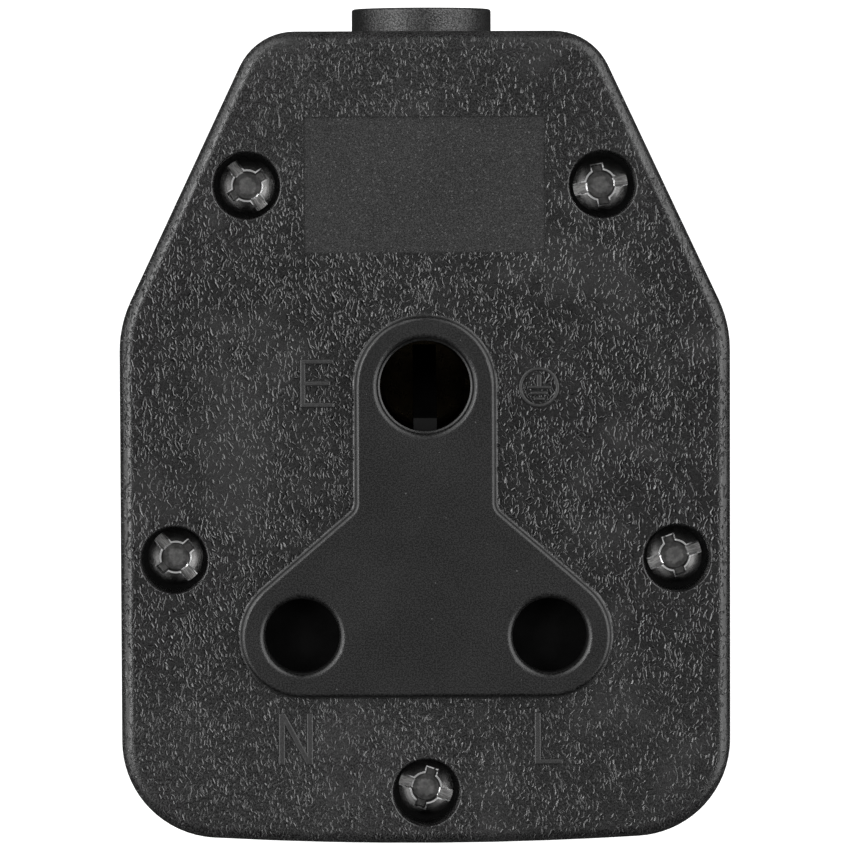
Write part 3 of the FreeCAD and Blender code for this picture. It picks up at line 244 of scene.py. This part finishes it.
def shell_finish(name, screws):
    """Black moulding: eroded leather-like grain outside, satin on the platform and marks, fine matte in the label recess."""
    f = Finish(name)
    depth = f.math("ABSOLUTE", f.less(f.z, 30.0))

    # where the tool was polished instead of eroded
    raised = f.step(depth, 29.225, 29.29)
    marks = f.times(raised, f.step(depth, 29.6, 29.5))
    label = f.math("MAXIMUM", f.less(f.math("ABSOLUTE", f.x), 12.4), f.less(f.math("ABSOLUTE", f.less(f.y, LABEL_Y)), 6.95))
    label = f.times(f.step(label, 0.05, -0.03), f.step(depth, 28.6, 28.9))
    facing = f.vector("DOT_PRODUCT", f.new("ShaderNodeNewGeometry").outputs["Normal"], f.vector("SUBTRACT", f.mm, (0.0, SHIFT, 30.0)))
    inside = f.step(facing, 0.5, -0.5)
    plain = f.math("MAXIMUM", f.math("MAXIMUM", raised, label), inside)
    # the mouths of the pin holes are polished as well
    for x, y, reach in ((0.0, EARTH_Y, 5.75), (-POLE_X, POLE_Y, 4.5), (POLE_X, POLE_Y, 4.5)):
        plain = f.math("MAXIMUM", plain, f.step(distance_from(f, x, y), reach + 0.05, reach))
    well = None
    for x, y in screws:
        d = f.less(distance_from(f, x, y), 3.43)
        well = d if well is None else f.math("MINIMUM", well, d)
    if well is not None:
        well = f.step(well, 0.12, 0.0)
        plain = f.math("MAXIMUM", plain, well)
    grained = f.less(1.0, plain)

    # grain: short worms with one steep flank, a few longer ones, thin nicks across them, and a fine tooth
    place = unrolled(f, f.warped(0.8, 0.85, 2.0))
    sway = f.add(f.times(f.x, 0.06), f.times(f.less(f.noise(0.9, 1.0, where=f.vector("ADD", f.mm, (5.0, 70.0, 0.0))), 0.5), 3.2))
    hand = f.less(f.times(f.step(sway, 0.05, -0.05), 2.0), 1.0)
    worn = f.step(f.noise(0.11, 3.0, 0.6), 0.50, 0.68)
    patch = f.vector("LENGTH", f.stretched(1.0 / 5.5, 1.0 / 13.0, 0.0, f.vector("SUBTRACT", f.mm, (-19.5, -3.0, 0.0))))
    patch = f.step(f.add(patch, f.times(f.noise(0.3, 2.0, where=f.vector("ADD", f.mm, (11.0, 3.0, 0.0))), 0.9)), 1.5, 0.7)
    worn = f.math("MAXIMUM", f.times(worn, 0.8), patch)
    ends = f.math("ABSOLUTE", f.add(f.y, 1.0))
    calm = f.times(f.step(ends, 18.0, 31.0, 1.0, 0.58), f.step(f.y, 14.0, 26.0, 1.0, 0.76))
    # painted shade: the top edge's fillet, facing away from the side lamps, keeps a quarter of the worms' relief and of
    # their painted highlights and shade, so it comes out darker
    calm = f.times(calm, f.step(f.y, 39.2, 40.0, 1.0, 0.25))
    # the walls carry the same grain all the way round, with less wear, and part in a dark line at the seam
    front = f.step(depth, 26.6, 27.8)
    calm = f.add(0.8, f.times(f.less(calm, 0.8), front))
    seam = f.step(depth, 0.36, 0.24)
    tips = f.times(f.step(ends, 18.0, 31.0), front)
    worn = f.times(worn, f.add(0.4, f.times(front, 0.6)))
    bold = f.step(f.noise(0.15, 2.0, 0.5, where=f.vector("ADD", f.mm, (60.0, 21.0, 0.0))), 0.32, 0.62, 0.6, 1.0)
    bold = f.times(bold, f.less(1.0, f.times(worn, 0.45)))
    bold = f.times(bold, f.step(f.x, -4.0, 14.0, 1.0, 0.80))
    layers = [
        strokes(f, 2.9, 1.35, place, (0.0, 0.0, 0.0), hand, 0.30, 0.045, 0.095, 1.1, f.times(bold, 0.48)),
        strokes(f, 2.7, 1.70, place, (31.3, 13.1, 0.0), hand, 0.24, 0.045, 0.095, 1.7, f.times(bold, 0.48)),
        strokes(f, 1.6, 0.66, place, (7.3, 3.1, 0.0), hand, 0.68, 0.045, 0.095, 0.8, f.times(bold, f.less(0.40, f.times(tips, 0.26)))),
    ]
    faint = strokes(f, 2.5, 1.9, place, (17.9, 41.7, 0.0), hand, 0.22, 0.040, 0.085, 2.2, 0.62)
    layers.append([f.times(part, share) for part, share in zip(faint, (0.5, 0.25, 0.9))])
    worms, painted_glint, painted_shade = layers[0]
    for body, light, shade in layers[1:]:
        worms, painted_glint, painted_shade = f.math("MAXIMUM", worms, body), f.math("MAXIMUM", painted_glint, light), f.math("MAXIMUM", painted_shade, shade)
    nick = strokes(f, 0.62, 1.3, place, (3.7, 51.0, 0.0), 1.0, 0.08, 0.42, 0.42, 0.5, 0.42)[0]
    painted_glint, painted_shade = f.times(painted_glint, f.times(grained, calm)), f.times(painted_shade, f.times(grained, calm))
    relief = f.less(f.times(worms, f.times(calm, GRAIN)), f.times(nick, 0.016))
    relief = f.add(relief, f.times(f.noise(1.0, 2.0, 0.6, where=f.stretched(4.6, 2.2, 3.0)), TOOTH))
    relief = f.times(relief, grained)
    # the polished faces keep a very fine frosting
    frost = f.add(f.times(label, 0.007), f.add(f.times(marks, 0.006), 0.020))
    f.height(f.add(relief, f.times(f.noise(8.0, 2.0, 0.6), frost)))

    # colour: the gentle flank of each worm is painted lighter, a painted highlight, and the foot of the steep one
    # painted dark, a painted shade, so neither moves with the lamps; greyer where hands have rubbed it, a little darker
    # towards the right, with scattered dust
    tone = f.step(f.noise(0.35, 3.0, 0.6), 0.3, 0.7)
    fine = f.step(f.noise(1.0, 2.0, 0.65, where=f.stretched(6.0, 4.2, 5.0)), 0.42, 0.58)
    mixed = f.add(f.times(tone, f.less(0.35, f.times(tips, 0.25))), f.times(fine, f.add(0.65, f.times(tips, 0.25))))
    satin = f.blend(f.step(f.noise(6.2, 0.0, 0.5), 0.40, 0.60), grey(0.0012), grey(0.0115))
    colour = f.blend(grained, satin, f.blend(f.times(mixed, f.step(f.x, -6.0, 16.0, 1.0, 0.72)), grey(0.0050), f.blend(tips, grey(0.0185), grey(0.0270))))
    # painted highlight on the gentle flanks, a little weaker towards the right
    colour = f.blend(f.times(painted_glint, f.step(f.x, -4.0, 14.0, 0.96, 0.80)), colour, grey(0.156))
    # painted shade: the nicks and the foot of each steep flank are coloured nearly black, as shade in the creases
    colour = f.blend(f.times(f.times(f.math("MAXIMUM", nick, painted_shade), grained), 0.9), colour, grey(0.0008))
    colour = f.blend(f.times(f.times(worn, grained), 0.35), colour, grey(0.042))
    matte = f.blend(f.step(f.noise(6.2, 0.0, 0.5), 0.40, 0.60), grey(0.0045), grey(0.0200))
    pale = f.step(f.cells(3.4, feature="F1"), 0.36, 0.16)
    pale = f.times(pale, f.step(f.noise(1.7, 1.0, 0.6, where=f.vector("ADD", f.mm, (23.0, 5.0, 8.0))), 0.46, 0.58))
    matte = f.blend(f.times(pale, 0.8), matte, grey(0.075))
    colour = f.blend(f.times(label, 0.9), colour, matte)
    colour = f.blend(f.times(marks, 0.85), colour, f.blend(mixed, grey(0.0150), grey(0.0270)))
    speck = f.step(f.cells(0.85, feature="F1"), 0.085, 0.035)
    some = f.step(f.noise(0.9, 0.0, where=f.vector("ADD", f.mm, (9.0, 2.0, 40.0))), 0.58, 0.66)
    colour = f.blend(f.times(f.times(speck, some), 0.6), colour, grey(0.14))
    colour = f.blend(f.times(seam, 0.9), colour, grey(0.0010))
    polish = f.step(f.noise(0.16, 3.0, 0.6, where=f.vector("ADD", f.mm, (40.0, 11.0, 0.0))), 0.3, 0.7, 0.30, 0.35)
    rough = f.add(polish, f.times(f.math("MAXIMUM", label, marks), 0.03))
    rough = f.less(rough, f.times(grained, 0.13))
    if well is not None:
        rough = f.add(f.times(rough, f.less(1.0, well)), f.times(well, 0.13))
    # the gloss is dimmed where the shade is painted, in the nicks and at the foot of the steep flanks, and along the
    # seam
    cavity = f.times(f.math("MAXIMUM", f.math("MAXIMUM", f.times(nick, 0.5), painted_shade), seam), grained)
    f.set(Base_Color=colour, Roughness=rough, IOR=1.5, Specular_IOR_Level=f.less(0.5, f.times(cavity, 0.42)))
    return f.material


# ---------------------------------------------------------------- other finishes
def rubber_finish():
    f = Finish("bush_rubber")
    tone = f.step(f.noise(0.5, 3.0, 0.6), 0.3, 0.7)
    fine = f.step(f.noise(6.0, 1.0, 0.6), 0.38, 0.62)
    tone = f.add(f.times(tone, 0.3), f.times(fine, 0.7))
    f.set(Base_Color=f.blend(tone, grey(0.0025), grey(0.0125)))
    f.set(Roughness=f.step(f.noise(0.35, 2.0), 0.3, 0.7, 0.35, 0.44), IOR=1.5, Specular_IOR_Level=f.step(fine, 0.0, 1.0, 0.42, 0.95))
    f.height(f.add(f.times(f.noise(5.0, 3.0, 0.65), 0.060), f.times(f.noise(0.9, 2.0), 0.012)))
    return f.material


def steel_finish(name, low, high, rough, punched=0.0, scratch=0.004):
    f = Finish(name)
    stain = f.step(f.noise(0.8, 4.0, 0.65), 0.32, 0.7)
    f.set(Base_Color=f.blend(stain, grey(low, 0.015), grey(high, 0.01)), Metallic=1.0)
    upright = f.new("ShaderNodeSeparateXYZ")
    f.put(upright.inputs[0], f.new("ShaderNodeNewGeometry").outputs["Normal"])
    floors = f.times(f.step(upright.outputs[2], 0.985, 0.998), punched)
    f.set(Roughness=f.add(f.step(f.noise(2.2, 3.0, 0.6), 0.3, 0.72, rough, rough + 0.12), floors))
    lines = f.noise(9.0, 2.0, 0.55)
    f.height(f.add(f.times(lines, scratch), f.times(f.noise(1.4, 2.0), scratch * 1.5)))
    return f.material


def head_finish():
    """Plated screw heads: a smooth dome, broken edges around the punched recess, and duller floors in it."""
    f = Finish("screw_head_steel")
    local = None
    for (x, y), angle in zip(SCREWS, TURNS):
        spin = f.new("ShaderNodeVectorRotate", rotation_type="Z_AXIS")
        f.put(spin.inputs["Vector"], f.vector("SUBTRACT", f.mm, (x, y, 0.0)))
        f.put(spin.inputs["Angle"], math.radians(-angle))
        own = f.vector("SCALE", spin.outputs[0], scale=f.step(distance_from(f, x, y), 3.3, 3.2))
        local = own if local is None else f.vector("ADD", local, own)
    parts = f.new("ShaderNodeSeparateXYZ")
    f.put(parts.inputs[0], f.vector("ABSOLUTE", local))
    ax, ay = parts.outputs[0], parts.outputs[1]
    r = f.math("SQRT", f.add(f.times(ax, ax), f.times(ay, ay)))
    arm = f.math("MAXIMUM", f.less(ay, 2.05), f.less(ax, 0.525))
    wide = f.math("MAXIMUM", f.less(ax, 2.05), f.less(ay, 0.525))
    sides = f.math("MINIMUM", f.math("MINIMUM", f.less(ay, 0.46), arm), wide)
    away = f.math("MINIMUM", sides, f.less(r, 1.5))
    floor = f.step(away, 0.02, -0.02)
    chipped = f.step(f.noise(1.3, 2.0, 0.6), 0.34, 0.54, 0.35, 1.0)
    edge = f.math("MAXIMUM", f.times(f.step(sides, 0.19, 0.14), chipped), f.step(r, 1.5 + 0.21, 1.5 + 0.16))
    edge = f.times(f.less(1.0, floor), edge)
    # the slot steps down to the core of the recess
    drop = f.times(f.step(f.math("ABSOLUTE", f.less(r, 1.44)), 0.10, 0.05), f.step(ay, 0.46, 0.42))
    edge = f.math("MAXIMUM", edge, f.times(drop, f.times(chipped, 0.9)))
    blot = f.times(f.less(f.noise(1.9, 3.0, 0.65), 0.5), 0.9)
    disc = f.step(f.add(r, blot), 1.02, 0.72)
    stain = f.step(f.noise(1.6, 4.0, 0.65), 0.34, 0.68)
    brush = f.step(f.noise(1.0, 2.0, 0.6, where=f.stretched(1.2, 9.0, 1.0, local)), 0.36, 0.64)
    dome = f.blend(stain, grey(0.82, 0.01), grey(0.97, 0.01))
    arms = f.blend(brush, grey(0.42, 0.01), grey(0.84, 0.01))
    core = f.blend(stain, grey(0.17, 0.01), grey(0.32, 0.01))
    middle = f.blend(stain, grey(0.34, 0.01), grey(0.60, 0.01))
    arms = f.blend(f.step(f.less(ax, ay), -0.1, 0.1), core, arms)
    colour = f.blend(floor, dome, f.blend(disc, f.blend(f.step(r, 1.40, 1.52), core, arms), middle))
    f.set(Base_Color=f.blend(edge, colour, grey(0.97)), Metallic=1.0)
    rough = f.add(f.step(f.noise(2.2, 3.0, 0.6), 0.3, 0.72, 0.18, 0.26), f.times(floor, 0.14))
    f.set(Roughness=f.less(rough, f.times(edge, 0.09)))
    f.height(f.add(f.times(brush, f.times(floor, 0.012)), f.times(f.noise(1.8, 3.0, 0.6), 0.014)))
    # the broken edges lean into the recess, whatever the dome does around them
    lean = f.new("ShaderNodeBump")
    lean.inputs["Strength"].default_value = 1.0
    lean.inputs["Distance"].default_value = MM
    round_in = f.times(f.less(r, 1.5), 0.30)
    slope = f.math("MINIMUM", f.times(sides, 0.19), round_in)
    slope = f.add(f.times(slope, f.less(1.0, floor)), f.times(round_in, floor))
    f.put(lean.inputs["Height"], slope)
    upward = f.vector("ADD", f.new("ShaderNodeNewGeometry").outputs["Normal"], (0.0, 0.0, 3.0))
    f.put(lean.inputs["Normal"], f.vector("NORMALIZE", upward))
    both = f.new("ShaderNodeMix", data_type="VECTOR")
    f.put(both.inputs[0], edge)
    f.put(both.inputs[4], f.shader.inputs["Normal"].links[0].from_socket)
    f.put(both.inputs[5], lean.outputs["Normal"])
    f.put(f.shader.inputs["Normal"], both.outputs[1])
    return f.material


def brass_finish():
    f = Finish("contact_brass")
    tarnish = f.step(f.noise(0.45, 4.0, 0.6), 0.35, 0.7)
    f.set(Base_Color=f.blend(tarnish, (0.105, 0.080, 0.042, 1.0), (0.060, 0.048, 0.030, 1.0)), Metallic=1.0)
    f.set(Roughness=f.step(f.noise(1.1, 3.0, 0.6), 0.3, 0.7, 0.24, 0.42))
    f.height(f.times(f.noise(6.0, 2.0, 0.6, where=f.stretched(1.0, 1.0, 0.12)), 0.004))
    return f.material


def plastic_finish(name, low, high, rough, gloss=0.5, land=None):
    f = Finish(name)
    tone = f.step(f.noise(0.25, 4.0, 0.6), 0.3, 0.7)
    colour = f.blend(tone, grey(low), grey(high))
    if land is not None:
        # the flat end of the tongue is greyer than the rest, and the ramp is painted nearly black: painted shade, as it
        # lies in the dark
        tongue = f.step(f.y, -6.0, -5.0)
        colour = f.blend(tongue, colour, f.blend(tone, grey(0.0004), grey(0.0008)))
        upright = f.new("ShaderNodeSeparateXYZ")
        f.put(upright.inputs[0], f.new("ShaderNodeNewGeometry").outputs["Normal"])
        flat = f.step(f.math("ABSOLUTE", upright.outputs[2]), 0.97, 0.995)
        colour = f.blend(f.times(flat, tongue), colour, grey(land))
    f.set(Base_Color=colour)
    f.set(Roughness=f.step(f.noise(0.7, 3.0), 0.3, 0.7, rough, rough + 0.14), IOR=1.5, Specular_IOR_Level=gloss)
    f.height(f.add(f.times(f.noise(5.0, 3.0, 0.6), 0.008), f.times(f.noise(0.5, 2.0), 0.01)))
    return f.material


finishes = {
    "front_shell": shell_finish("shell_plastic", SCREWS),
    "rear_shell": shell_finish("shell_plastic_rear", []),
    "bush": rubber_finish(),
    "cover_screws": head_finish(),
    "screw": steel_finish("screw_steel", 0.74, 0.88, 0.18, 0.18),
    "spring": steel_finish("spring_steel", 0.42, 0.58, 0.22, 0.0, 0.002),
    "brass": brass_finish(),
    "shutter": plastic_finish("shutter_plastic", 0.0026, 0.0046, 0.62, 0.01, 0.0080),
    "inner": plastic_finish("inner_plastic", 0.010, 0.016, 0.55, 0.3),
}
BY_SLOT = {
    "bush_rubber": "bush", "screw_steel": "screw", "shutter_plastic": "shutter", "inner_plastic": "inner",
    "contact_brass": "brass", "spring_steel": "spring",
}
slot_of = {s["node"]: s["material_slot"] for s in frame["record"]["subparts"]}
for name, obj in nodes.items():
    chosen = finishes[name] if name in finishes else finishes[BY_SLOT[slot_of[name]]]
    obj.data.materials.clear()
    obj.data.materials.append(chosen)


# ---------------------------------------------------------------- shutter springs
def coil(name, z, y_fixed, length, mean, wire, turns):
    """An open coil along Y with closed ends; the wire ends are capped flat."""
    mesh = bpy.data.meshes.new(name)
    bm = bmesh.new()
    steps, around = turns * 28, 12
    rings = []
    for i in range(steps + 1):
        t = i / steps
        turn = 2 * math.pi * turns * t
        # the first and last turns lie closer together than the others
        lead = 0.5 - 0.5 * math.cos(math.pi * t)
        along = 0.62 * t + 0.38 * lead
        centre = Vector((mean * math.cos(turn), wire + along * (length - 2 * wire), mean * math.sin(turn)))
        out = Vector((math.cos(turn), 0, math.sin(turn)))
        up = Vector((0, 1, 0))
        ring = []
        for k in range(around):
            a = 2 * math.pi * k / around
            ring.append(bm.verts.new(centre + wire * (math.cos(a) * out + math.sin(a) * up)))
        rings.append(ring)
    for a, b in zip(rings, rings[1:]):
        for k in range(around):
            bm.faces.new((a[k], b[k], b[(k + 1) % around], a[(k + 1) % around]))
    bm.faces.new(rings[0])
    bm.faces.new(list(reversed(rings[-1])))
    bmesh.ops.recalc_face_normals(bm, faces=bm.faces)
    for face in bm.faces:
        face.smooth = len(face.verts) == 4
    bm.transform(Matrix.Translation((0, y_fixed, z)) @ Matrix.Scale(MM, 4))
    bm.to_mesh(mesh)
    bm.free()
    obj = bpy.data.objects.new(name, mesh)
    scene.collection.objects.link(obj)
    obj.data.materials.append(finishes["spring"])
    return obj


for side in ("front", "rear"):
    node = side + "_shutter_spring"
    low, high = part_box(node)
    z = (low.z + high.z) / 2
    piece = coil(side + "_shutter_coil", z, low.y, (high.y - low.y) / MM, 1.12, 0.2, 8)
    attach(piece, "housing")
    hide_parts(node)
    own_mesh(piece)


# ---------------------------------------------------------------- stage, light and camera
def floor():
    mesh = bpy.data.meshes.new("floor")
    r = 3.0
    mesh.from_pydata([(-r, -r, 0), (r, -r, 0), (r, r, 0), (-r, r, 0)], [], [(0, 1, 2, 3)])
    obj = bpy.data.objects.new("floor", mesh)
    scene.collection.objects.link(obj)
    obj.location.z = -0.0001
    f = Finish("floor_paper")
    tone = f.step(f.noise(0.004, 3.0), 0.3, 0.7)
    white = f.blend(tone, grey(0.46), grey(0.50))
    f.set(Base_Color=white, Roughness=0.9, Emission_Color=(1.0, 1.0, 1.0, 1.0), Emission_Strength=0.82)
    obj.data.materials.append(f.material)
    obj.visible_glossy = False


def soft_box(name, where, towards, wide, tall, power):
    data = bpy.data.lights.new(name, "AREA")
    data.shape = "RECTANGLE"
    data.size, data.size_y = wide, tall
    data.energy = power
    obj = bpy.data.objects.new(name, data)
    scene.collection.objects.link(obj)
    obj.location = where
    obj.rotation_mode = "QUATERNION"
    obj.rotation_quaternion = (Vector(towards) - Vector(where)).to_track_quat("-Z", "Y")
    return obj


floor()
soft_box("left_box", (-0.630, 0.22, 0.435), (0, 0, 0.05), 1.6, 0.86, 9.4)
soft_box("right_box", (0.630, 0.22, 0.435), (0, 0, 0.05), 1.6, 0.86, 11.0)
soft_box("left_top_box", (-0.490, 0.10, 0.693), (0, 0, 0.05), 0.50, 0.23, 2.4)
soft_box("right_top_box", (0.490, 0.10, 0.693), (0, 0, 0.05), 0.50, 0.23, 1.1)

world = bpy.data.worlds.new("studio")
scene.world = world
world.use_nodes = True
tree = world.node_tree
direction = tree.nodes.new("ShaderNodeTexCoord").outputs["Generated"]
parts = tree.nodes.new("ShaderNodeSeparateXYZ")
tree.links.new(direction, parts.inputs[0])
sky = tree.nodes.new("ShaderNodeValToRGB")
tree.links.new(parts.outputs[2], sky.inputs[0])
# dim near the horizon, soft grey higher up, dark right overhead where the camera hangs
stops = [(0.0, 0.03), (0.35, 0.05), (0.60, 0.08), (0.82, 0.15), (0.883, 0.30), (0.945, 0.34), (0.955, 0.62), (0.970, 0.62), (0.984, 0.02), (1.0, 0.0)]
while len(sky.color_ramp.elements) < len(stops):
    sky.color_ramp.elements.new(1.0)
for e, (at, v) in zip(sky.color_ramp.elements, stops):
    e.position = at
    e.color = grey(v)
tree.links.new(sky.outputs[0], tree.nodes["Background"].inputs["Color"])
tree.nodes["Background"].inputs["Strength"].default_value = 1.0

camera = bpy.data.objects.new("camera", bpy.data.cameras.new("camera"))
scene.collection.objects.link(camera)
camera.data.sensor_width = 36.0
camera.data.lens = 298.0
camera.data.clip_start, camera.data.clip_end = 0.01, 20.0
aim, eye = Vector((-0.00004, 0.00008, 0.060)), Vector((-0.00704, 0.022405, 0.780))
look = (aim - eye).normalized()
right = look.cross(Vector((0, 1, 0))).normalized()
up = right.cross(look).normalized()
turn = Matrix((right, up, -look)).transposed().to_4x4()
camera.matrix_world = Matrix.Translation(eye) @ turn @ Matrix.Rotation(math.radians(-0.205), 4, "Z")
scene.camera = camera

scene.view_settings.view_transform = "Standard"
scene.view_settings.look = "None"
